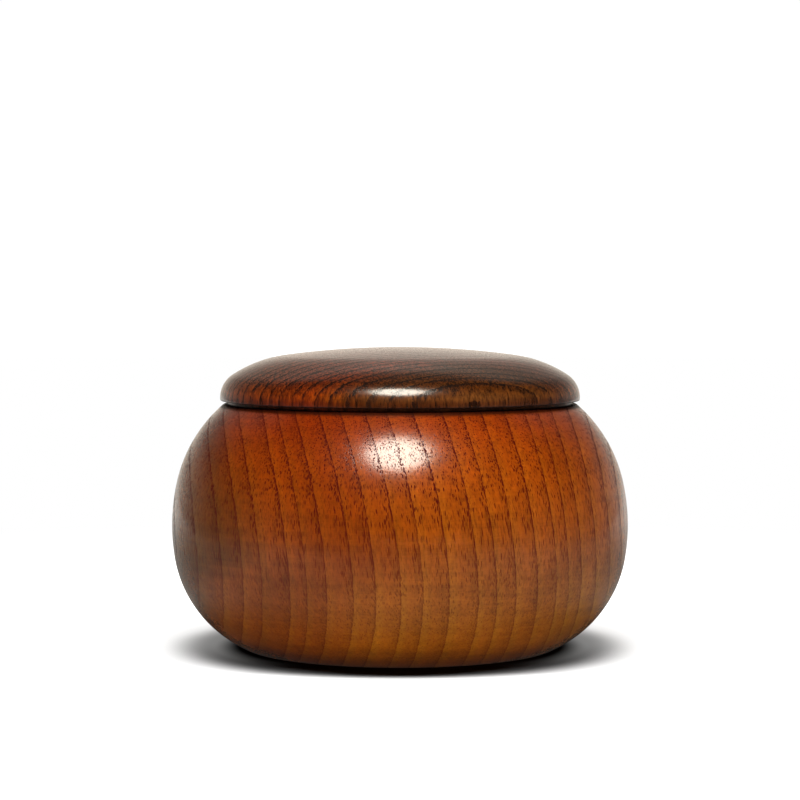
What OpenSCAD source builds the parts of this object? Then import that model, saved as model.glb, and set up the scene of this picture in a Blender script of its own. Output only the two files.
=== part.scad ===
// Turned wooden bowl for board game stones, with a domed lift-off lid.
// Both pieces are turned about the Z axis and stand on the plane z = 0. Sizes are in millimetres.
// Each outline is half a section, drawn with x as the radius and y as the height, then revolved.

/* [Bowl] */
// Diameter of the belly at its widest
belly_d = 150; // [142:1:176]
// Height of the bowl without its lid
bowl_h = 80; // [72:1:92]
// Height of the widest line of the belly
belly_z = 40; // [34:0.5:46]
// Radius of the belly curve, seen in section
belly_curve = 66; // [56:1:74]
// Where the shoulder curve takes over from the belly curve, in degrees above the widest line
shoulder_from = 12.7; // [4:0.1:18]
// Where the lower curve takes over from the belly curve, in degrees below the widest line
lower_from = 8.8; // [3:0.1:18]
// Thickness of the wall at the belly
wall = 10; // [6:0.5:14]
// Thickness of the floor, from the inside down to the table
floor_t = 8; // [5:0.5:14]

/* [Mouth and rim] */
// Diameter of the mouth
mouth_d = 90; // [72:1:98]
// Height of the straight lip inside the mouth
lip_h = 5; // [3:0.5:8]
// Width of the rim, from the mouth out to the shoulder
rim_w = 12.8; // [9:0.1:16]
// Radius of the eased edges of the mouth
mouth_ease = 1; // [0.3:0.1:1.4]
// Radius of the eased outer edge of the rim
rim_ease = 1.5; // [0.3:0.1:3]

/* [Foot] */
// Diameter of the foot
foot_d = 102; // [86:1:116]
// Width of the ring that the bowl stands on
foot_w = 8; // [4:0.5:16]
// Depth of the recess turned into the underside
recess_h = 1.5; // [0.5:0.1:3]
// Radius of the eased outer edge of the foot
foot_ease = 3; // [0.5:0.5:6]
// Radius of the corner inside the recess
recess_ease = 1; // [0.2:0.1:1.4]

/* [Lid] */
// Height of the lid from its lower edge to the top of the dome
lid_h = 17.3; // [15:0.1:22]
// How far the lid stands out past the rim
overhang = 1.3; // [0.5:0.1:4]
// Height of the shadow line between the rim and the lid's lower edge
shadow_gap = 1.1; // [0.3:0.1:2.5]
// Radius of the dome, seen in section
dome_curve = 280; // [240:5:500]
// Radius of the rounded edge of the lid
edge_curve = 8.9; // [6:0.1:10.5]
// Height of the widest line of the lid above its lower edge
edge_z = 0.9; // [0.5:0.1:3]
// How far the rounded edge turns before the lid's shoulder takes over, in degrees
edge_turn = 57; // [45:1:64]
// Radius of the eased lower arris of the lid
arris_ease = 0.4; // [0.3:0.1:1.5]

/* [Underside of the lid] */
// How far inside the rim's outer corner the seat of the lid starts
seat_inset = 1.2; // [1:0.1:5]
// Depth of the spigot that drops into the mouth, below the seat
spigot_h = 4; // [2:0.5:8]
// Thickness of the spigot's wall
spigot_w = 6; // [4:0.5:9]
// Gap all round between the spigot and the mouth
spigot_gap = 0.8; // [0.3:0.1:1.5]
// Radius of the eased edges of the spigot
spigot_ease = 1; // [0.3:0.1:1.5]
// Thickness of the lid at its centre
crown_t = 10; // [7:0.5:13]
// Radius of the dish's shallow curve, seen in section
dish_curve = 150; // [120:5:300]
// Radius of the corner of the dish
dish_corner = 8; // [4:0.5:10]

/* [Hidden] */
$fn = 120;

bowl_colour = [0.60, 0.27, 0.10];
lid_colour = [0.36, 0.20, 0.12];

// Direction at an angle above the horizontal, as a unit vector
function dir(a) = [cos(a), sin(a)];

// Angle at which point p is seen from point c
function bearing(c, p) = atan2(p[1] - c[1], p[0] - c[0]);

// Radius of the arc that leaves point j square to dir(a) and runs on through point p
function arc_to_point(j, a, p) = -((p - j) * (p - j)) / (2 * ((p - j) * dir(a)));

// Radius of the arc that leaves point j square to dir(a) and runs smoothly into a larger circle
function arc_to_circle(j, a, c, r) = (r * r - (j - c) * (j - c)) / (2 * (r - (j - c) * dir(a)));

// Where the centre of a small curve of radius e at height y lies, for it to run smoothly into a larger one
function level_round_x(c, r, e, y) = c[0] + sqrt(pow(r - e, 2) - pow(y - c[1], 2));

// Bowl: centres and radii of the three outer curves, which meet smoothly
belly_c = [belly_d / 2 - belly_curve, belly_z];
rim_corner = [mouth_d / 2 + rim_w, bowl_h];
foot_corner = [foot_d / 2, 0];
shoulder_joint = belly_c + belly_curve * dir(shoulder_from);
lower_joint = belly_c + belly_curve * dir(-lower_from);
shoulder_curve = arc_to_point(shoulder_joint, shoulder_from, rim_corner);
shoulder_c = shoulder_joint - shoulder_curve * dir(shoulder_from);
lower_curve = arc_to_point(lower_joint, -lower_from, foot_corner);
lower_c = lower_joint - lower_curve * dir(-lower_from);

// Bowl: small curves that round the corners at the foot and at the rim
foot_c = [level_round_x(lower_c, lower_curve, foot_ease, foot_ease), foot_ease];
foot_turn = bearing(lower_c, foot_c);
rim_c = [level_round_x(shoulder_c, shoulder_curve, rim_ease, bowl_h - rim_ease), bowl_h - rim_ease];
rim_turn = bearing(shoulder_c, rim_c);

// Hollow: the belly curve less the wall, one curve up to the lip and one down into the floor
hollow_curve = belly_curve - wall;
lip_corner = [mouth_d / 2, bowl_h - lip_h];
hollow_shoulder_joint = belly_c + hollow_curve * dir(shoulder_from);
hollow_lower_joint = belly_c + hollow_curve * dir(-lower_from);
hollow_shoulder_curve = arc_to_point(hollow_shoulder_joint, shoulder_from, lip_corner);
hollow_shoulder_c = hollow_shoulder_joint - hollow_shoulder_curve * dir(shoulder_from);
hollow_lower_curve = (hollow_lower_joint[1] - floor_t) / (1 - sin(lower_from));
hollow_lower_c = hollow_lower_joint - hollow_lower_curve * dir(-lower_from);

// Lid: heights of its faces, and the three curves of its outside
lid_z = bowl_h + shadow_gap;
lid_top = lid_z + lid_h;
spigot_z = bowl_h - spigot_h;
spigot_r = mouth_d / 2 - spigot_gap;
dish_r = spigot_r - spigot_w;
seat_r = rim_corner[0] - seat_inset;
lid_r = rim_corner[0] + overhang;
edge_c = [lid_r - edge_curve, lid_z + edge_z];
dome_c = [0, lid_top - dome_curve];
edge_joint = edge_c + edge_curve * dir(edge_turn);
lid_shoulder_curve = arc_to_circle(edge_joint, edge_turn, dome_c, dome_curve);
lid_shoulder_c = edge_joint - lid_shoulder_curve * dir(edge_turn);
dome_from = bearing(dome_c, lid_shoulder_c);
dome_joint = dome_c + dome_curve * dir(dome_from);
arris_c = [level_round_x(edge_c, edge_curve, arris_ease, lid_z + arris_ease), lid_z + arris_ease];
arris_turn = bearing(edge_c, arris_c);

// Dish: a shallow curve across the middle that runs smoothly into its corner
dish_c = [0, lid_top - crown_t - dish_curve];
dish_corner_r = dish_r - dish_corner;
dish_corner_c = [dish_corner_r, dish_c[1] + sqrt(pow(dish_curve - dish_corner, 2) - pow(dish_corner_r, 2))];
dish_from = bearing(dish_c, dish_corner_c);

// Part of a disc between two directions, with its arc kept as a true arc
module sector(c, r, from, to) {
    reach = 2 * r;
    translate(c) intersection() {
        circle(r);
        polygon([[0, 0], reach * dir(from), reach * dir((from + to) / 2), reach * dir(to)]);
    }
}

// What is cut away to round a corner about centre c, between two tangent directions
module easing(c, r, from, to) {
    tip = 2 * r / cos((to - from) / 2);
    difference() {
        polygon([c, c + r * dir(from), c + tip * dir((from + to) / 2), c + r * dir(to)]);
        translate(c) circle(r);
    }
}

// Half section of the bowl's outside: five curves from the foot to the rim, on a core of straight lines
module bowl_outline() {
    polygon([
        [0, 0], [foot_c[0], 0], lower_c + lower_curve * dir(foot_turn), lower_joint,
        shoulder_joint, shoulder_c + shoulder_curve * dir(rim_turn), [rim_c[0], bowl_h], [0, bowl_h]
    ]);
    sector(foot_c, foot_ease, -90, foot_turn);
    sector(lower_c, lower_curve, foot_turn, -lower_from);
    sector(belly_c, belly_curve, -lower_from, shoulder_from);
    sector(shoulder_c, shoulder_curve, shoulder_from, rim_turn);
    sector(rim_c, rim_ease, rim_turn, 90);
}

// Half section of the hollow, from the floor up through the mouth
module hollow_outline() {
    above = 2 * bowl_h;
    polygon([
        [0, floor_t], [hollow_lower_c[0], floor_t], hollow_lower_joint, hollow_shoulder_joint,
        lip_corner, [mouth_d / 2, above], [0, above]
    ]);
    sector(hollow_lower_c, hollow_lower_curve, -90, -lower_from);
    sector(belly_c, hollow_curve, -lower_from, shoulder_from);
    sector(hollow_shoulder_c, hollow_shoulder_curve, shoulder_from, bearing(hollow_shoulder_c, lip_corner));
}

// Half section of the recess in the underside, with a rounded inner corner
module recess_outline() {
    recess_r = foot_d / 2 - foot_w;
    difference() {
        translate([0, -recess_h]) square([recess_r, 2 * recess_h]);
        easing([recess_r - recess_ease, recess_h - recess_ease], recess_ease, 0, 90);
    }
}

// Rounded edges of the mouth, at both ends of its lip
module mouth_easings() {
    mouth_x = mouth_d / 2 + mouth_ease;
    easing([mouth_x, bowl_h - mouth_ease], mouth_ease, 90, 180);

    lip_reach = hollow_shoulder_curve + mouth_ease;
    lip_c = [
        mouth_x,
        hollow_shoulder_c[1] + sqrt(pow(lip_reach, 2) - pow(mouth_x - hollow_shoulder_c[0], 2))
    ];
    easing(lip_c, mouth_ease, 180, bearing(lip_c, hollow_shoulder_c) + 360);
}

// Half section of the lid's outside: a shallow dome, a tighter shoulder, a rounded edge and an eased arris
module lid_outline() {
    intersection() {
        union() {
            polygon([
                [0, lid_z], [arris_c[0], lid_z], edge_c + edge_curve * dir(arris_turn), edge_joint,
                dome_joint, [0, lid_top]
            ]);
            sector(arris_c, arris_ease, -90, arris_turn);
            sector(edge_c, edge_curve, arris_turn, edge_turn);
            sector(lid_shoulder_c, lid_shoulder_curve, edge_turn, dome_from);
            sector(dome_c, dome_curve, dome_from, 90);
        }
        translate([0, lid_z]) square(2 * [lid_r, lid_h]);
    }
}

// Half section of the dish in the lid's underside
module dish_outline() {
    below = spigot_z - spigot_h;
    corner_joint = dish_corner_c + dish_corner * dir(dish_from);
    polygon([
        [0, below], [dish_r, below], [dish_r, dish_corner_c[1]], corner_joint,
        [0, lid_top - crown_t]
    ]);
    sector(dish_corner_c, dish_corner, 0, dish_from);
    intersection() {
        sector(dish_c, dish_curve, dish_from, 90);
        translate([0, spigot_z]) square([dish_r, lid_h]);
    }
}

// Rounded edges of the spigot, outside and inside
module spigot_easings() {
    spigot_y = spigot_z + spigot_ease;
    easing([spigot_r - spigot_ease, spigot_y], spigot_ease, -90, 0);
    easing([dish_r + spigot_ease, spigot_y], spigot_ease, 180, 270);
}

// A half section on the outer side of the turning axis, revolved about it
module turned() {
    rotate_extrude() intersection() {
        children();
        translate([0, -bowl_h]) square([belly_d, 3 * bowl_h]);
    }
}

// Bowl: turned outside, undercut hollow with a straight lip, flat rim and recessed foot
module bowl() {
    color(bowl_colour) turned() difference() {
        bowl_outline();
        hollow_outline();
        recess_outline();
        mouth_easings();
    }
}

// Lid: dome that sits on the rim by a raised seat, with a spigot in the mouth and a dish inside it
module lid() {
    color(lid_colour) turned() difference() {
        union() {
            lid_outline();
            translate([0, bowl_h]) square([seat_r, shadow_gap]);
            translate([0, spigot_z]) square([spigot_r, spigot_h]);
        }
        dish_outline();
        spigot_easings();
    }
}

bowl();
lid();
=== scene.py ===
import math

import bmesh
import bpy
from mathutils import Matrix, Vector


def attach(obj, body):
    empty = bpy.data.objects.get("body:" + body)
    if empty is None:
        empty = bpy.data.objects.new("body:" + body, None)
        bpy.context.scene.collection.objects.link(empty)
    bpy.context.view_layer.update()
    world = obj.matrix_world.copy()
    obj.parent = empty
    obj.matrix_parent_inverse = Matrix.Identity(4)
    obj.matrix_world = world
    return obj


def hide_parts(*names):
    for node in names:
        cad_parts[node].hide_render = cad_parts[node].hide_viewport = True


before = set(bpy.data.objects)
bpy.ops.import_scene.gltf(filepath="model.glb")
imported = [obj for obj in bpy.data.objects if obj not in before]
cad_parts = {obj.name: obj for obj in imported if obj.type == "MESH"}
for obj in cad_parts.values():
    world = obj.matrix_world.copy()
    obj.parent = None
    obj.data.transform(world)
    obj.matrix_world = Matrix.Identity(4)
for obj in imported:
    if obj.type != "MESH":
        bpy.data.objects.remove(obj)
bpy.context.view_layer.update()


# The bowl: one block of ring-porous timber, turned to a flattened ball with a wide mouth.
# It is hollowed through the mouth by an undercutting tool, so a lip is left round the inside,
# and it stands on a narrow foot ring turned round a shallow recess.

# Sizes are in millimetres and angles in degrees, counted from level.
MM = 0.001
SAME_PLACE = 1e-4

BELLY_WIDTH = 149.85
BOWL_HEIGHT = 80.0
BELLY_LEVEL = 40.0
BELLY_CURVE = 66.0
SHOULDER_FROM = 12.7
LOWER_FROM = -8.8
WALL = 10.0
FLOOR = 8.0
MOUTH_WIDTH = 90.0
LIP_HEIGHT = 5.0
RIM_EDGE = 57.8
RIM_EASE = 1.5
MOUTH_EASE = 1.0
FOOT_WIDTH = 102.0
FOOT_RING = 8.0
FOOT_EASE = 3.0
RECESS_DEPTH = 1.5
RECESS_EASE = 1.0
RECESS_CHAMFER = 0.25


def toward(angle):
    """The direction at an angle in degrees, in the plane of the profile."""
    return Vector((math.cos(math.radians(angle)), math.sin(math.radians(angle))))


def bearing(vector):
    """The angle in degrees of a direction in the plane of the profile."""
    return math.degrees(math.atan2(vector.y, vector.x))


def arc(centre, radius, start, end, spacing=0.9):
    """Points along an arc from one angle to another, about so many millimetres apart."""
    length = abs(math.radians(end - start)) * radius
    steps = max(4, math.ceil(length / spacing))
    return [centre + radius * toward(start + (end - start) * i / steps) for i in range(steps + 1)]


def line(start, end, spacing=3.0):
    """Points along a straight cut, without its two ends."""
    steps = max(1, math.ceil((end - start).length / spacing))
    return [start.lerp(end, i / steps) for i in range(1, steps)]


def tangent_arc(joint, angle, point):
    """Centre and radius of the arc that leaves a joint squarely and ends on a point."""
    reach = point - joint
    radius = -reach.dot(reach) / (2 * reach.dot(toward(angle)))
    return joint - radius * toward(angle), radius


def turned(name, profile, around=224, sharp_from=32.0):
    """A closed body of revolution from a profile that starts and ends on the axis."""
    mesh = bpy.data.meshes.new(name)
    shape = bmesh.new()
    rows = []
    for point in profile:
        if point.x < SAME_PLACE:
            rows.append([shape.verts.new((0.0, 0.0, point.y * MM))])
            continue
        row = []
        for i in range(around):
            side = toward(360.0 * i / around)
            row.append(shape.verts.new((point.x * side.x * MM, point.x * side.y * MM, point.y * MM)))
        rows.append(row)
    for lower, upper in zip(rows, rows[1:]):
        for i in range(around):
            j = (i + 1) % around
            below = [lower[i % len(lower)], lower[j % len(lower)]]
            above = [upper[j % len(upper)], upper[i % len(upper)]]
            corners = list(dict.fromkeys(below + above))
            if len(corners) > 2:
                shape.faces.new(corners)
    bmesh.ops.recalc_face_normals(shape, faces=shape.faces)
    for face in shape.faces:
        face.smooth = True
    shape.to_mesh(mesh)
    shape.free()
    mesh.set_sharp_from_angle(angle=math.radians(sharp_from))
    piece = bpy.data.objects.new(name, mesh)
    bpy.context.scene.collection.objects.link(piece)
    return piece


def without_doubles(points):
    """The same points, leaving out any that lies on the one before it."""
    kept = [points[0]]
    for point in points[1:]:
        if (point - kept[-1]).length > SAME_PLACE:
            kept.append(point)
    return kept


belly_centre = Vector((BELLY_WIDTH / 2 - BELLY_CURVE, BELLY_LEVEL))
foot_corner = Vector((FOOT_WIDTH / 2, 0.0))
rim_corner = Vector((RIM_EDGE, BOWL_HEIGHT))

lower_joint = belly_centre + BELLY_CURVE * toward(LOWER_FROM)
lower_centre, lower_curve = tangent_arc(lower_joint, LOWER_FROM, foot_corner)
shoulder_joint = belly_centre + BELLY_CURVE * toward(SHOULDER_FROM)
shoulder_centre, shoulder_curve = tangent_arc(shoulder_joint, SHOULDER_FROM, rim_corner)


def rounding(centre, radius, ease, level):
    """Centre of the small arc that rounds a big one off where it meets a level cut."""
    across = math.sqrt((radius - ease) ** 2 - (level - centre.y) ** 2)
    return Vector((centre.x + across, level))


foot_centre = rounding(lower_centre, lower_curve, FOOT_EASE, FOOT_EASE)
rim_centre = rounding(shoulder_centre, shoulder_curve, RIM_EASE, BOWL_HEIGHT - RIM_EASE)

foot_inner = FOOT_WIDTH / 2 - FOOT_RING
recess_ease_x = foot_inner - RECESS_EASE
recess_corner_x = foot_inner + RECESS_CHAMFER

mouth_edge = MOUTH_WIDTH / 2
hollow_curve = BELLY_CURVE - WALL
lip_corner = Vector((mouth_edge, BOWL_HEIGHT - LIP_HEIGHT))
hollow_shoulder_joint = belly_centre + hollow_curve * toward(SHOULDER_FROM)
hollow_shoulder_centre, hollow_shoulder_curve = tangent_arc(
    hollow_shoulder_joint, SHOULDER_FROM, lip_corner
)
hollow_lower_joint = belly_centre + hollow_curve * toward(LOWER_FROM)
hollow_lower_curve = (hollow_lower_joint.y - FLOOR) / (1 + math.sin(math.radians(LOWER_FROM)))
hollow_lower_centre = hollow_lower_joint - hollow_lower_curve * toward(LOWER_FROM)
lip_ease_x = mouth_edge + MOUTH_EASE
lip_reach = hollow_shoulder_curve + MOUTH_EASE
lip_ease_rise = math.sqrt(lip_reach ** 2 - (lip_ease_x - hollow_shoulder_centre.x) ** 2)
lip_centre = Vector((lip_ease_x, hollow_shoulder_centre.y + lip_ease_rise))
lip_turn = bearing(lip_centre - hollow_shoulder_centre)

outside_of_bowl = (
    [Vector((0.0, RECESS_DEPTH))]
    + line(Vector((0.0, RECESS_DEPTH)), Vector((recess_ease_x, RECESS_DEPTH)))
    + arc(Vector((recess_ease_x, RECESS_DEPTH - RECESS_EASE)), RECESS_EASE, 90, 0, 0.25)
    + [Vector((foot_inner, RECESS_CHAMFER)), Vector((recess_corner_x, 0.0))]
    + line(Vector((recess_corner_x, 0.0)), Vector((foot_centre.x, 0.0)), 1.5)
    + arc(foot_centre, FOOT_EASE, -90, bearing(foot_centre - lower_centre), 0.3)
    + arc(lower_centre, lower_curve, bearing(foot_centre - lower_centre), LOWER_FROM)
    + arc(belly_centre, BELLY_CURVE, LOWER_FROM, SHOULDER_FROM)
    + arc(shoulder_centre, shoulder_curve, SHOULDER_FROM, bearing(rim_centre - shoulder_centre))
    + arc(rim_centre, RIM_EASE, bearing(rim_centre - shoulder_centre), 90, 0.12)
)
inside_of_bowl = (
    line(Vector((rim_centre.x, BOWL_HEIGHT)), Vector((lip_ease_x, BOWL_HEIGHT)), 1.5)
    + arc(Vector((lip_ease_x, BOWL_HEIGHT - MOUTH_EASE)), MOUTH_EASE, 90, 180, 0.2)
    + line(Vector((mouth_edge, BOWL_HEIGHT - MOUTH_EASE)), Vector((mouth_edge, lip_centre.y)), 1.0)
    + arc(lip_centre, MOUTH_EASE, 180, lip_turn + 180, 0.2)
    + arc(hollow_shoulder_centre, hollow_shoulder_curve, lip_turn, SHOULDER_FROM)
    + arc(belly_centre, hollow_curve, SHOULDER_FROM, LOWER_FROM)
    + arc(hollow_lower_centre, hollow_lower_curve, LOWER_FROM, -90)
    + line(Vector((hollow_lower_centre.x, FLOOR)), Vector((0.0, FLOOR)))
    + [Vector((0.0, FLOOR))]
)
bowl = turned("turned_bowl", without_doubles(outside_of_bowl + inside_of_bowl))


class Finish:
    """Builds the nodes of a finish, or of the room's light, one by one."""

    def __init__(self, tree):
        self.tree = tree
        self.tree.nodes.clear()

    def node(self, kind, *values, **settings):
        """Adds a node, gives its sockets the values in order, and sets its options."""
        made = self.tree.nodes.new(kind)
        for option, value in settings.items():
            setattr(made, option, value)
        for socket, value in zip(made.inputs, values):
            self.feed(socket, value)
        return made

    def feed(self, socket, value):
        """Gives a socket a value, or another node's result, or leaves it alone."""
        if isinstance(value, bpy.types.NodeSocket):
            self.tree.links.new(value, socket)
        elif value is not None:
            socket.default_value = value

    def maths(self, operation, *values, clamp=False):
        return self.node("ShaderNodeMath", *values, operation=operation, use_clamp=clamp).outputs[0]

    def times(self, *values):
        product = values[0]
        for value in values[1:]:
            product = self.maths("MULTIPLY", product, value)
        return product

    def plus(self, *values):
        total = values[0]
        for value in values[1:]:
            total = self.maths("ADD", total, value)
        return total

    def share(self, value, *limits):
        """Where a value lies between two places, from 0 to 1 or from one given result to another."""
        return self.node("ShaderNodeMapRange", value, *limits).outputs["Result"]

    def step(self, value, *limits):
        """The same as share, with a soft start and end."""
        made = self.node("ShaderNodeMapRange", value, *limits, interpolation_type="SMOOTHSTEP")
        return made.outputs["Result"]

    def grey(self, level):
        return self.node("ShaderNodeCombineColor", level, level, level).outputs[0]


class Timber(Finish):
    """One timber's material, in millimetres, round the heart of the tree that it came from."""

    def __init__(self, name, pith, trunk, fibre):
        self.material = bpy.data.materials.new(name)
        self.material.use_nodes = True
        super().__init__(self.material.node_tree)
        self.object_place = self.node("ShaderNodeTexCoord").outputs["Object"]
        self.in_trunk = self.turned_upright(trunk, pith)
        self.along_fibres = self.turned_upright(fibre, (0.0, 0.0, 0.0))
        self.x, self.y, self.z = self.node("ShaderNodeSeparateXYZ", self.in_trunk).outputs

    def turned_upright(self, direction, origin):
        """The place in millimetres from an origin, turned so that a direction is the z axis."""
        upright = Vector(direction).normalized().rotation_difference(Vector((0.0, 0.0, 1.0)))
        made = self.node("ShaderNodeMapping", self.object_place)
        made.inputs["Scale"].default_value = (1 / MM, 1 / MM, 1 / MM)
        made.inputs["Rotation"].default_value = upright.to_euler()
        made.inputs["Location"].default_value = -(upright @ Vector(origin))
        return made.outputs["Vector"]

    def cloud(self, place, detail, roughness):
        """Smooth noise, from about -0.5 to 0.5."""
        made = self.node("ShaderNodeTexNoise", place)
        made.inputs["Scale"].default_value = 1.0
        made.inputs["Detail"].default_value = detail
        made.inputs["Roughness"].default_value = roughness
        return self.maths("SUBTRACT", made.outputs[0], 0.5)

    def noise(self, across, along, detail=2.0, roughness=0.5, offset=0.0):
        """A cloud that is drawn out along the fibres, with the size of its marks both ways."""
        stretch = (1 / across, 1 / across, 1 / along)
        drawn = self.node("ShaderNodeMapping", self.along_fibres, (offset, offset, offset), None, stretch)
        return self.cloud(drawn.outputs[0], detail, roughness)

    def blend(self, factor, first, second, mode="MIX"):
        """Mixes two colours."""
        made = self.node("ShaderNodeMix", data_type="RGBA", blend_type=mode)
        for socket, value in ((made.inputs[0], factor), (made.inputs[6], first), (made.inputs[7], second)):
            self.feed(socket, value)
        return made.outputs[2]

    def year_rings(self, first_ring, ring_widths, wander):
        """Finds the year that laid down each place, and how far through the season it was."""
        out = self.maths("SQRT", self.plus(self.times(self.x, self.x), self.times(self.y, self.y)))
        slow = self.times(self.noise(across=26.0, along=110.0, detail=1.0), wander)
        quick = self.times(self.noise(across=3.0, along=22.0, offset=7.0), 0.45)
        ragged = self.times(self.noise(across=0.9, along=5.0, offset=13.0), 0.55)
        self.radius = self.plus(out, slow, quick, ragged)
        last_ring = first_ring + sum(ring_widths)
        growth = self.node("ShaderNodeFloatCurve", 1.0, self.share(self.radius, first_ring, last_ring))
        curve = growth.mapping.curves[0]
        curve.points[0].location = (0.0, 0.0)
        curve.points[-1].location = (1.0, 1.0)
        edge = first_ring
        for year, width in enumerate(ring_widths[:-1]):
            edge += width
            curve.points.new((edge - first_ring) / (last_ring - first_ring), (year + 1) / len(ring_widths))
        for point in curve.points:
            point.handle_type = "VECTOR"
        growth.mapping.update()
        years = self.times(growth.outputs[0], float(len(ring_widths)))
        self.year = self.maths("FLOOR", years)
        self.season = self.maths("FRACT", years)

    def ramp(self, value, stops):
        """A colour that follows a value through a few stops, each a place and a colour."""
        low, high = stops[0][0], stops[-1][0]
        made = self.node("ShaderNodeValToRGB", self.share(value, low, high))
        while len(made.color_ramp.elements) < len(stops):
            made.color_ramp.elements.new(0.5)
        for element, (place, colour) in zip(made.color_ramp.elements, stops):
            element.position = (place - low) / (high - low)
            element.color = (*colour, 1.0)
        return made.outputs["Color"]

    def rays(self, length, width, height, usual_radius=150.0):
        """The thin plates of ray cells, which run out from the heart across the rings."""
        angle = self.maths("ARCTAN2", self.y, self.x)
        outward = self.times(self.radius, 1 / length)
        round_the_heart = self.times(angle, usual_radius / width)
        up_the_trunk = self.times(self.z, 1 / height)
        spread = self.node("ShaderNodeCombineXYZ", outward, round_the_heart, up_the_trunk)
        return self.cloud(spread.outputs[0], 2.0, 0.5)

    def vessels(self, across, along, width, offset):
        """The open ends and sides of the tree's vessels, and a number that is random for each.

        One vessel stands in each cell of the given size across and along the fibres. A slow bend
        keeps them out of straight rows.
        """
        slow = self.node("ShaderNodeMapping", self.along_fibres, None, None, (0.16, 0.16, 0.06))
        slow = self.node("ShaderNodeTexNoise", slow.outputs[0])
        slow.inputs["Scale"].default_value = 1.0
        slow.inputs["Detail"].default_value = 1.0
        most = (1.2, 1.2, 1.2)
        bend = self.node("ShaderNodeVectorMath", slow.outputs["Color"], most, operation="MULTIPLY")
        moved = self.node("ShaderNodeVectorMath", self.along_fibres, bend.outputs[0], operation="ADD")
        stretch = (1 / across, 1 / across, 1 / along)
        cells = self.node("ShaderNodeMapping", moved.outputs[0], (offset, offset, offset), None, stretch)
        made = self.node("ShaderNodeTexVoronoi", cells.outputs[0])
        made.inputs["Scale"].default_value = 1.0
        edge = width / 2 / across
        hole = self.step(made.outputs["Distance"], edge * 0.75, edge * 1.15, 1.0, 0.0)
        chance = self.node("ShaderNodeSeparateColor", made.outputs["Color"]).outputs[0]
        return hole, chance


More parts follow.
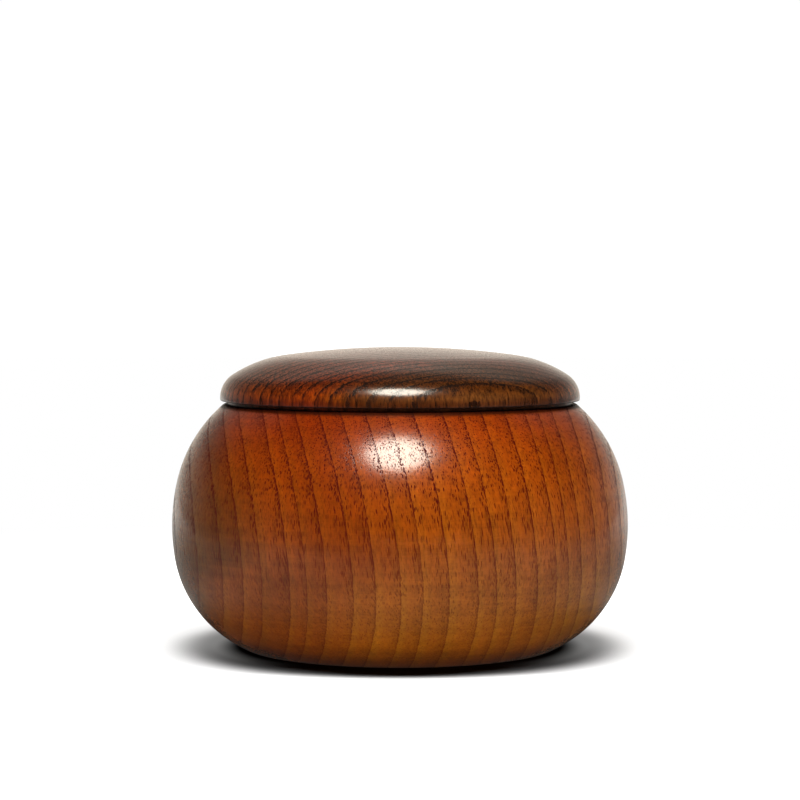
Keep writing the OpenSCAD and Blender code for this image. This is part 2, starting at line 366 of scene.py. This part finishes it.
def lacquered_wood(name, pith, trunk, fibre, first_ring, ring_widths, tones):
    """Ring-porous timber under a few rubbed coats of clear lacquer."""
    wood = Timber(name, pith, trunk, fibre)
    wood.year_rings(first_ring, ring_widths, tones["wander"])
    season = wood.season
    height = wood.times(wood.node("ShaderNodeSeparateXYZ", wood.object_place).outputs[2], 1 / MM)

    # How squarely the cut runs across the fibres: 0 along them, 1 straight across.
    along = Vector(fibre).normalized()
    normal = wood.node("ShaderNodeTexCoord").outputs["Normal"]
    across = wood.node("ShaderNodeVectorMath", normal, along, operation="DOT_PRODUCT").outputs["Value"]
    end_grain = wood.step(wood.maths("ABSOLUTE", across), 0.25, 0.65)

    # Wide vessels crowd the wood that each spring laid down, stand in a row where it began, and thin
    # out towards the autumn. The filler has closed them more low down on each piece than high up.
    unfilled = wood.step(height, *tones["unfilled"])
    line_width = tones["line_width"]
    spring, spring_chance = wood.vessels(across=0.47, along=4.4, width=tones["vessel"], offset=0.0)
    crowd = wood.step(season, 0.05, 0.55, tones["crowd"], 0.20)
    spring = wood.times(spring, wood.maths("LESS_THAN", spring_chance, crowd))
    row = wood.vessels(across=0.44, along=4.0, width=0.50, offset=31.0)[0]
    row = wood.times(row, wood.step(season, line_width * 0.5, line_width * 1.6, 1.0, 0.0))
    fine, fine_chance = wood.vessels(across=0.42, along=2.2, width=0.38, offset=57.0)
    fine = wood.times(fine, wood.maths("LESS_THAN", fine_chance, 0.50), tones["fine"])
    pores = wood.maths("MAXIMUM", wood.maths("MAXIMUM", spring, row), fine)
    pores = wood.times(pores, unfilled)

    # The ring itself: a dark line where growth starts again, then a slow climb to the dense autumn wood.
    broken = wood.step(wood.noise(across=0.7, along=2.6, offset=23.0), -0.16, 0.10)
    ring_line = wood.times(wood.step(season, 0.0, line_width, 1.0, 0.0), broken, unfilled)
    spring_shade = wood.step(season, 0.0, 0.55, 1.0, 0.0)
    autumn = wood.step(season, 0.55, 0.92)

    # The wood's own unevenness, from broad bands down to single fibres, and the marks of the tool.
    broad = wood.noise(across=34.0, along=90.0, offset=3.0)
    fibres = wood.noise(across=0.95, along=7.0, detail=3.0, roughness=0.75, offset=11.0)
    mottle = wood.noise(across=2.4, along=4.0, detail=3.0, roughness=0.6, offset=19.0)
    patches = wood.noise(across=10.0, along=16.0, offset=29.0)
    rays = wood.rays(length=5.0, width=0.45, height=0.40)
    by_year = wood.node("ShaderNodeTexWhiteNoise", None, wood.year, noise_dimensions="1D").outputs["Value"]
    cuts = wood.node("ShaderNodeMapping", wood.object_place, None, None, (20.0, 20.0, 430.0)).outputs[0]
    cuts = wood.cloud(cuts, detail=3.0, roughness=0.75)

    # The board's bands of colour, under the colour by height. Low on the bowl they lie further from the
    # heart.
    lean = wood.step(height, 24.0, 37.0, -13.0, 0.0)
    drift = wood.plus(wood.radius, wood.times(broad, 16.0), lean)
    long_ground = wood.ramp(drift, [(place, colour) for place, colour, end_colour in tones["bands"]])
    end_ground = wood.ramp(drift, [(place, end_colour) for place, colour, end_colour in tones["bands"]])
    ground = wood.blend(end_grain, long_ground, end_ground)
    # A colour by height multiplies the wood. It is partly painted light, and is set for each piece below.
    ground = wood.blend(1.0, ground, wood.ramp(height, tones["tint_and_light_by_height"]), "MULTIPLY")
    ground = wood.blend(autumn, ground, wood.blend(1.0, ground, (*tones["autumn"], 1.0), "MULTIPLY"))

    # Painted shade: the narrow gap under the lid, round the rim's outer edge and the lid's lower edge,
    # is darkened in the colour, where the lid's overhang shades it.
    from_axis = wood.node(
        "ShaderNodeVectorMath", wood.object_place, (1 / MM, 1 / MM, 0.0), operation="MULTIPLY"
    )
    from_axis = wood.node("ShaderNodeVectorMath", from_axis.outputs[0], operation="LENGTH").outputs["Value"]
    painted_gap_shade = wood.times(
        wood.step(height, BOWL_HEIGHT - 1.7, BOWL_HEIGHT - 0.6),
        wood.step(height, BOWL_HEIGHT + 1.2, BOWL_HEIGHT + 1.6, 1.0, 0.0),
        wood.step(from_axis, RIM_EDGE - 1.6, RIM_EDGE - 1.0),
    )
    painted_gap_shade_colour = (0.006, 0.002, 0.001, 1.0)

    shade = wood.plus(
        1.03,
        wood.times(fibres, tones["grain"], wood.plus(wood.times(unfilled, 0.6), 0.4)),
        wood.times(mottle, 0.40),
        wood.times(patches, 0.45),
        wood.times(rays, 0.30),
        wood.times(spring_shade, -0.14),
        wood.times(by_year, 0.10),
        wood.times(cuts, 0.70),
    )
    ground = wood.blend(1.0, ground, wood.grey(shade), "MULTIPLY")
    ground = wood.blend(wood.times(ring_line, tones["line_depth"]), ground, (*tones["line"], 1.0))
    ground = wood.blend(wood.times(pores, tones["pore_depth"]), ground, (*tones["pore"], 1.0))
    # Painted shade in the gap under the lid.
    ground = wood.blend(wood.times(painted_gap_shade, 0.85), ground, painted_gap_shade_colour)

    # The lacquer has sunk a little over the open pores and follows the last tool marks. It is
    # thinner in the pores, and nearly taken away in the painted shade of the gap, so the gap stays dull.
    relief = wood.plus(wood.times(cuts, 0.25), wood.times(fibres, 0.30), wood.times(pores, -1.0))
    deepest = 0.05 * MM
    dents = wood.node("ShaderNodeBump", 0.25, deepest)
    wood.feed(dents.inputs["Height"], relief)
    film = wood.node("ShaderNodeBump", 0.16, deepest)
    wood.feed(film.inputs["Height"], relief)
    bare = wood.maths("MAXIMUM", wood.times(pores, tones["dull"]), wood.times(painted_gap_shade, 0.9))

    surface = wood.node("ShaderNodeBsdfPrincipled")
    wood.feed(surface.inputs["Base Color"], ground)
    wood.feed(surface.inputs["Roughness"], wood.plus(wood.times(pores, 0.2), 0.40))
    wood.feed(surface.inputs["Normal"], dents.outputs[0])
    surface.inputs["Specular IOR Level"].default_value = 0.04
    wood.feed(surface.inputs["Coat Weight"], wood.maths("SUBTRACT", 1.0, bare, clamp=True))
    wood.feed(surface.inputs["Coat Normal"], film.outputs[0])
    surface.inputs["Coat Roughness"].default_value = 0.19
    surface.inputs["Coat IOR"].default_value = 1.5
    output = wood.node("ShaderNodeOutputMaterial")
    wood.feed(output.inputs["Surface"], surface.outputs[0])
    return wood.material


# The width of each year's ring, outwards from the first.
bowl_ring_widths = [
    7.0, 6.9, 7.2, 7.0, 5.5, 5.0, 7.3, 8.0, 6.7, 6.0, 9.0, 7.8, 6.2,
    7.0, 6.0, 6.8, 5.2, 4.3, 7.2, 4.8, 5.2, 6.5, 6.4, 6.0, 6.5,
]

# The board's bands of colour, each with its distance from the heart of the tree.
bowl_bands = [
    (115.0, (0.200, 0.052, 0.0030)),
    (135.0, (0.195, 0.043, 0.0020)),
    (150.0, (0.210, 0.047, 0.0022)),
    (185.0, (0.220, 0.049, 0.0022)),
    (203.0, (0.170, 0.031, 0.0012)),
    (215.0, (0.155, 0.028, 0.0011)),
    (226.0, (0.178, 0.035, 0.0015)),
    (238.0, (0.096, 0.025, 0.0012)),
    (250.0, (0.100, 0.032, 0.0030)),
]

# The colour goes by height, and is partly painted light. How far the pores are left unfilled also goes by
# height: two heights, and the share at each. The other numbers are the strength, size or number of what
# they name.
bowl_tones = {
    "wander": 1.0,
    "bands": [(place, colour, colour) for place, colour in bowl_bands],
    # Partly painted light: redder and darker high up, where the lid shades the shoulder, and more yellow
    # low down, where the table lights the bowl from below.
    "tint_and_light_by_height": [
        (0.0, (1.0, 1.0, 1.0)),
        (8.0, (0.93, 1.05, 1.0)),
        (16.0, (0.80, 0.95, 0.7)),
        (28.0, (0.69, 0.74, 0.45)),
        (40.0, (0.76, 0.70, 0.4)),
        (52.0, (0.87, 0.74, 0.6)),
        (68.0, (0.93, 0.67, 0.45)),
        (76.0, (0.92, 0.54, 0.4)),
        (80.0, (0.86, 0.48, 0.3)),
    ],
    "autumn": (1.05, 1.22, 1.30),
    "unfilled": (12.0, 72.0, 0.50, 1.25),
    "grain": 1.35,
    "vessel": 0.36,
    "fine": 0.45,
    "crowd": 1.0,
    "line_width": 0.075,
    "line": (0.030, 0.004, 0.001),
    "line_depth": 0.48,
    "pore": (0.045, 0.002, 0.0004),
    "pore_depth": 0.92,
    "dull": 0.80,
}
bowl.data.materials.append(lacquered_wood(
    "lacquered_bowl_wood", pith=(180.0, -3.0, 40.0), trunk=(-0.05, -0.22, 1.0), fibre=(-0.10, 0.0, 1.0),
    first_ring=103.5, ring_widths=bowl_ring_widths, tones=bowl_tones,
))
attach(bowl, "bowl")
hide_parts("bowl")


# The lid: a low dome from a darker board of the same timber, with its edge rolled under.
# A step beneath it rests on the rim of the mouth, and a plain ring inside the step drops into
# the mouth and keeps the lid in the middle. Its underside is dished, to hold stones taken in play.
LID_HEIGHT = 17.3
OVERHANG = 1.3
SHADOW_GAP = 1.1
DOME_CURVE = 280.0
EDGE_CURVE = 8.9
EDGE_RISE = 0.9
EDGE_TURN = 57.0
ARRIS_EASE = 0.4
SEAT_INSET = 1.2
SPIGOT_HEIGHT = 4.0
SPIGOT_WIDTH = 6.0
SPIGOT_GAP = 0.8
SPIGOT_EASE = 1.0
CROWN = 10.0
DISH_CURVE = 150.0
DISH_CORNER = 8.0

lid_under = BOWL_HEIGHT + SHADOW_GAP
lid_top = lid_under + LID_HEIGHT
lid_edge = RIM_EDGE + OVERHANG
seat_edge = RIM_EDGE - SEAT_INSET
spigot_edge = mouth_edge - SPIGOT_GAP
spigot_foot = BOWL_HEIGHT - SPIGOT_HEIGHT
dish_edge = spigot_edge - SPIGOT_WIDTH

edge_centre = Vector((lid_edge - EDGE_CURVE, lid_under + EDGE_RISE))
edge_joint = edge_centre + EDGE_CURVE * toward(EDGE_TURN)
dome_centre = Vector((0.0, lid_top - DOME_CURVE))
inward = edge_joint - dome_centre
roll_short = DOME_CURVE - inward.dot(toward(EDGE_TURN))
roll_curve = (DOME_CURVE ** 2 - inward.dot(inward)) / (2 * roll_short)
roll_centre = edge_joint - roll_curve * toward(EDGE_TURN)
dome_from = bearing(roll_centre - dome_centre)
arris_centre = rounding(edge_centre, EDGE_CURVE, ARRIS_EASE, lid_under + ARRIS_EASE)
arris_turn = bearing(arris_centre - edge_centre)

dish_centre = Vector((0.0, lid_top - CROWN - DISH_CURVE))
corner_x = dish_edge - DISH_CORNER
corner_rise = math.sqrt((DISH_CURVE - DISH_CORNER) ** 2 - corner_x ** 2)
corner_centre = Vector((corner_x, dish_centre.y + corner_rise))
corner_from = bearing(corner_centre - dish_centre)

spigot_bend = spigot_foot + SPIGOT_EASE

underside_of_lid = (
    [Vector((0.0, lid_top - CROWN))]
    + arc(dish_centre, DISH_CURVE, 90, corner_from)
    + arc(corner_centre, DISH_CORNER, corner_from, 0, 0.5)
    + line(Vector((dish_edge, corner_centre.y)), Vector((dish_edge, spigot_bend)), 1.0)
    + arc(Vector((dish_edge + SPIGOT_EASE, spigot_bend)), SPIGOT_EASE, 180, 270, 0.25)
    + arc(Vector((spigot_edge - SPIGOT_EASE, spigot_bend)), SPIGOT_EASE, 270, 360, 0.25)
    + line(Vector((spigot_edge, spigot_bend)), Vector((spigot_edge, BOWL_HEIGHT)), 1.0)
    + [Vector((spigot_edge, BOWL_HEIGHT))]
    + line(Vector((spigot_edge, BOWL_HEIGHT)), Vector((seat_edge, BOWL_HEIGHT)), 2.0)
    + [Vector((seat_edge, BOWL_HEIGHT)), Vector((seat_edge, lid_under))]
)
top_of_lid = (
    line(Vector((seat_edge, lid_under)), Vector((arris_centre.x, lid_under)), 1.0)
    + arc(arris_centre, ARRIS_EASE, -90, arris_turn, 0.15)
    + arc(edge_centre, EDGE_CURVE, arris_turn, EDGE_TURN, 0.4)
    + arc(roll_centre, roll_curve, EDGE_TURN, dome_from, 0.6)
    + arc(dome_centre, DOME_CURVE, dome_from, 90)
)
lid = turned("turned_lid", without_doubles(underside_of_lid + top_of_lid))

lid_ring_widths = [5.0] * 8 + [4.2] * 2 + [3.8] * 10
lid_ring_widths += [4.4, 3.5, 3.2, 3.7, 2.1, 3.0, 2.7, 3.0, 3.2, 2.4, 2.3, 3.1]

# Each band has its distance from the heart, its colour along the fibres and its colour across them.
lid_tones = {
    "wander": 0.8,
    "bands": [
        (70.0, (0.100, 0.021, 0.0030), (0.100, 0.021, 0.0025)),
        (145.0, (0.095, 0.017, 0.0020), (0.085, 0.016, 0.0015)),
        (166.0, (0.110, 0.015, 0.0010), (0.066, 0.009, 0.0010)),
        (172.0, (0.140, 0.018, 0.0010), (0.075, 0.010, 0.0010)),
        (178.0, (0.085, 0.017, 0.0010), (0.050, 0.009, 0.0010)),
        (183.0, (0.062, 0.017, 0.0025), (0.036, 0.009, 0.0010)),
        (192.0, (0.068, 0.020, 0.0036), (0.040, 0.010, 0.0010)),
    ],
    # Painted light by height: the lid's lower edge beside the gap is darkened as painted shade, the
    # underside is a little darker, and the top is lightened as a painted sheen.
    "tint_and_light_by_height": [
        (76.0, (0.8, 0.7, 0.7)),
        (80.0, (0.8, 0.7, 0.7)),
        (81.6, (0.50, 0.38, 0.35)),
        (82.6, (0.58, 0.46, 0.42)),
        (84.2, (1.0, 1.0, 1.0)),
        (91.5, (1.0, 1.0, 1.0)),
        (97.5, (1.4, 1.15, 1.0)),
    ],
    "autumn": (1.10, 1.20, 1.30),
    "unfilled": (80.0, 90.0, 0.50, 1.05),
    "grain": 5.5,
    "vessel": 0.38,
    "fine": 0.60,
    "crowd": 0.95,
    "line_width": 0.26,
    "line": (0.006, 0.002, 0.001),
    "line_depth": 0.95,
    "pore": (0.006, 0.002, 0.001),
    "pore_depth": 0.92,
    "dull": 0.35,
}
lid.data.materials.append(lacquered_wood(
    "lacquered_lid_wood", pith=(-56.8, 119.1, 90.0), trunk=(0.012, 0.022, 1.0), fibre=(0.0, 0.0, 1.0),
    first_ring=68.0, ring_widths=lid_ring_widths, tones=lid_tones,
))
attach(lid, "lid")
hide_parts("lid")


# The table: a plain white board much wider than the bowl, painted and unmarked. Its middle is lit by
# a lamp and keeps the bowl's shadow, and further out it runs into the white of the room. The camera,
# the wood and the lacquer each see it at a brightness of their own.
bpy.ops.mesh.primitive_circle_add(vertices=96, radius=3.0, fill_type="NGON", location=(0.0, 0.0, 0.0))
table = bpy.context.object
table.name = "white_table"
table_paint = bpy.data.materials.new("white_table_paint")
table_paint.use_nodes = True
paint = Finish(table_paint.node_tree)
seen_by = paint.node("ShaderNodeLightPath").outputs
on_table = paint.node("ShaderNodeTexCoord").outputs["Object"]
from_middle = paint.node("ShaderNodeVectorMath", on_table, operation="LENGTH").outputs["Value"]
to_right, to_back = paint.node("ShaderNodeSeparateXYZ", on_table).outputs[:2]
to_side = paint.maths("ABSOLUTE", to_right)
front_edge = paint.step(to_back, -0.30, -0.26)

# What the camera sees: the lit board with the bowl's shadow on it, cast by the strip lamp and
# deepened by painted shadow in the board's colour, and further out the white of the room.
leaning = paint.maths("MINIMUM", paint.times(paint.plus(to_back, 0.02), 0.06), 0.0)
in_front = paint.maths("MAXIMUM", paint.times(paint.plus(to_back, 0.06), -0.3), 0.0)
shadow_place = paint.plus(from_middle, paint.plus(leaning, in_front))
# Painted shadow: the board's colour is darkest close to the bowl and lightens outwards.
painted_shadow_near = paint.step(shadow_place, 0.062, 0.079, 0.04, 0.34)
painted_shadow_edge = paint.step(shadow_place, 0.085, 0.130, 0.0, 0.10)
board = paint.node("ShaderNodeBsdfDiffuse", paint.grey(paint.plus(painted_shadow_near, painted_shadow_edge))).outputs[0]
# Painted light: a faint glow on the board beside and behind the bowl lightens the bowl's shadow there.
behind_the_bowl = paint.step(to_back, -0.050, 0.005, 0.0, 0.20)
past_the_foot = paint.step(from_middle, 0.053, 0.062)
painted_side_glow = paint.node(
    "ShaderNodeEmission", (1.0, 0.99, 0.97, 1.0), paint.times(behind_the_bowl, past_the_foot)
).outputs[0]
board = paint.node("ShaderNodeAddShader", board, painted_side_glow).outputs[0]
white_glow = paint.node("ShaderNodeEmission", (1.0, 1.0, 1.0, 1.0), 1.0).outputs[0]
far_out = paint.step(from_middle, 0.22, 0.42)
board_for_camera = paint.node("ShaderNodeMixShader", far_out, board, white_glow).outputs[0]

# What lights the wood from below: the board up to its front edge.
whiteness = paint.times(front_edge, paint.step(to_side, 0.06, 0.15, 0.34, 0.85))
board_for_wood = paint.node("ShaderNodeBsdfDiffuse", paint.grey(whiteness)).outputs[0]

# What the lacquer mirrors: a dull white board that glows, with the bowl's shadow painted into its glow in
# the middle.
sideways = paint.maths("SUBTRACT", to_side, paint.times(to_back, 0.4))
mirrored = paint.times(
    paint.step(sideways, 0.33, 0.48, 1.0, 0.15),
    front_edge,
    paint.step(from_middle, 0.068, 0.100, 0.03, 0.26),
    paint.step(to_back, 0.05, 0.60, 1.0, 3.4),
)
board_in_lacquer = paint.node("ShaderNodeEmission", (1.0, 0.95, 0.87, 1.0), mirrored).outputs[0]

is_mirrored = paint.maths("ADD", seen_by["Is Glossy Ray"], seen_by["Is Transmission Ray"], clamp=True)
look = paint.node("ShaderNodeMixShader", is_mirrored, board_for_wood, board_in_lacquer).outputs[0]
look = paint.node("ShaderNodeMixShader", seen_by["Is Camera Ray"], look, board_for_camera).outputs[0]
paint.node("ShaderNodeOutputMaterial", look)
table.data.materials.append(table_paint)


# The room: white to the camera, at a strength of 1, or of the backdrop where that is brighter. The
# lacquer mirrors it as a slightly warm backdrop behind the table, brightest low down and again high
# up, with a dim room on the side of the camera.
room = bpy.data.worlds.new("studio_room")
room.use_nodes = True
bpy.context.scene.world = room
walls = Finish(room.node_tree)
for_camera = walls.node("ShaderNodeLightPath").outputs["Is Camera Ray"]
direction = walls.node("ShaderNodeTexCoord").outputs["Generated"]
rightward, backward, upward = walls.node("ShaderNodeSeparateXYZ", direction).outputs
level = walls.node("ShaderNodeCombineXYZ", rightward, backward, 0.0).outputs[0]
level = walls.node("ShaderNodeVectorMath", level, operation="NORMALIZE").outputs[0]
facing_back = walls.node("ShaderNodeSeparateXYZ", level).outputs[1]
backdrop = walls.node("ShaderNodeFloatCurve", 1.0, facing_back)
curve = backdrop.mapping.curves[0]
curve.points[0].location = (0.0, 0.01)
curve.points[-1].location = (1.0, 0.60)
for place, brightness in ((0.42, 0.05), (0.63, 0.13), (0.77, 0.20), (0.90, 0.30), (0.96, 0.38)):
    curve.points.new(place, brightness)
backdrop.mapping.update()
top_edge = walls.step(upward, 0.72, 0.87, 1.0, 0.12)
high_up = walls.step(upward, 0.56, 0.74, 1.0, 1.90)
low_down = walls.step(upward, 0.03, 0.38, 2.3, 0.90)
in_lacquer = walls.times(backdrop.outputs[0], top_edge, high_up, low_down)
strength = walls.maths("MAXIMUM", in_lacquer, for_camera)
green = walls.share(for_camera, 0.0, 1.0, 0.91, 1.0)
blue = walls.share(for_camera, 0.0, 1.0, 0.78, 1.0)
warmth = walls.node("ShaderNodeCombineColor", 1.0, green, blue).outputs[0]
white = walls.node("ShaderNodeBackground", warmth, strength).outputs[0]
walls.node("ShaderNodeOutputWorld", white)


# The lamps: a round soft box close in front of and above the bowl lights the wood, and a strip
# straight overhead lights the table, where it leaves the bowl's shadow. A low strip in front adds
# the light that comes up off the table.
def facing_lamp(name, place, target, sizes, watts, lit):
    """A soft lamp, round if it has one size, that faces a point and lights the pieces named."""
    lamp = bpy.data.lights.new(name, "AREA")
    lamp.shape = "DISK" if len(sizes) == 1 else "RECTANGLE"
    lamp.size = sizes[0]
    lamp.size_y = sizes[-1]
    lamp.energy = watts
    holder = bpy.data.objects.new(name, lamp)
    bpy.context.scene.collection.objects.link(holder)
    holder.location = place
    holder.rotation_euler = (Vector(place) - Vector(target)).to_track_quat("Z", "Y").to_euler()
    holder.light_linking.receiver_collection = bpy.data.collections.new(name + "_lights")
    for piece in lit:
        holder.light_linking.receiver_collection.objects.link(piece)
    return holder


soft_box = facing_lamp(
    "front_soft_box", place=(-0.006, -0.27, 0.385), target=(0.0, 0.0, 0.05),
    sizes=[0.19], watts=2.35, lit=[bowl, lid],
)
soft_box.data.color = (1.0, 0.95, 0.82)
facing_lamp(
    "table_strip", place=(0.0, -0.22, 1.16), target=(0.0, -0.22, 0.0),
    sizes=[1.70, 0.30], watts=80.0, lit=[table],
)
table_glow = facing_lamp(
    "light_off_the_table", place=(0.05, -0.42, 0.012), target=(0.0, 0.0, 0.03),
    sizes=[0.4, 0.02], watts=0.65, lit=[bowl, lid],
)
table_glow.visible_glossy = False


# The camera: a long lens close in front and a little above the lid, looking slightly down, as the
# photograph was taken.
LENS_MILLIMETRES = 116.3
CAMERA_PLACE = Vector((0.0, -0.850, 0.1224))
CAMERA_TARGET = Vector((0.0, 0.0, 0.081))

viewpoint = bpy.data.cameras.new("viewpoint")
viewpoint.sensor_width = 36.0
viewpoint.lens = LENS_MILLIMETRES
viewpoint.clip_start = 0.01
camera = bpy.data.objects.new("viewpoint", viewpoint)
bpy.context.scene.collection.objects.link(camera)
camera.location = CAMERA_PLACE
camera.rotation_euler = (CAMERA_PLACE - CAMERA_TARGET).to_track_quat("Z", "Y").to_euler()
bpy.context.scene.camera = camera

bpy.context.scene.view_settings.view_transform = "Standard"
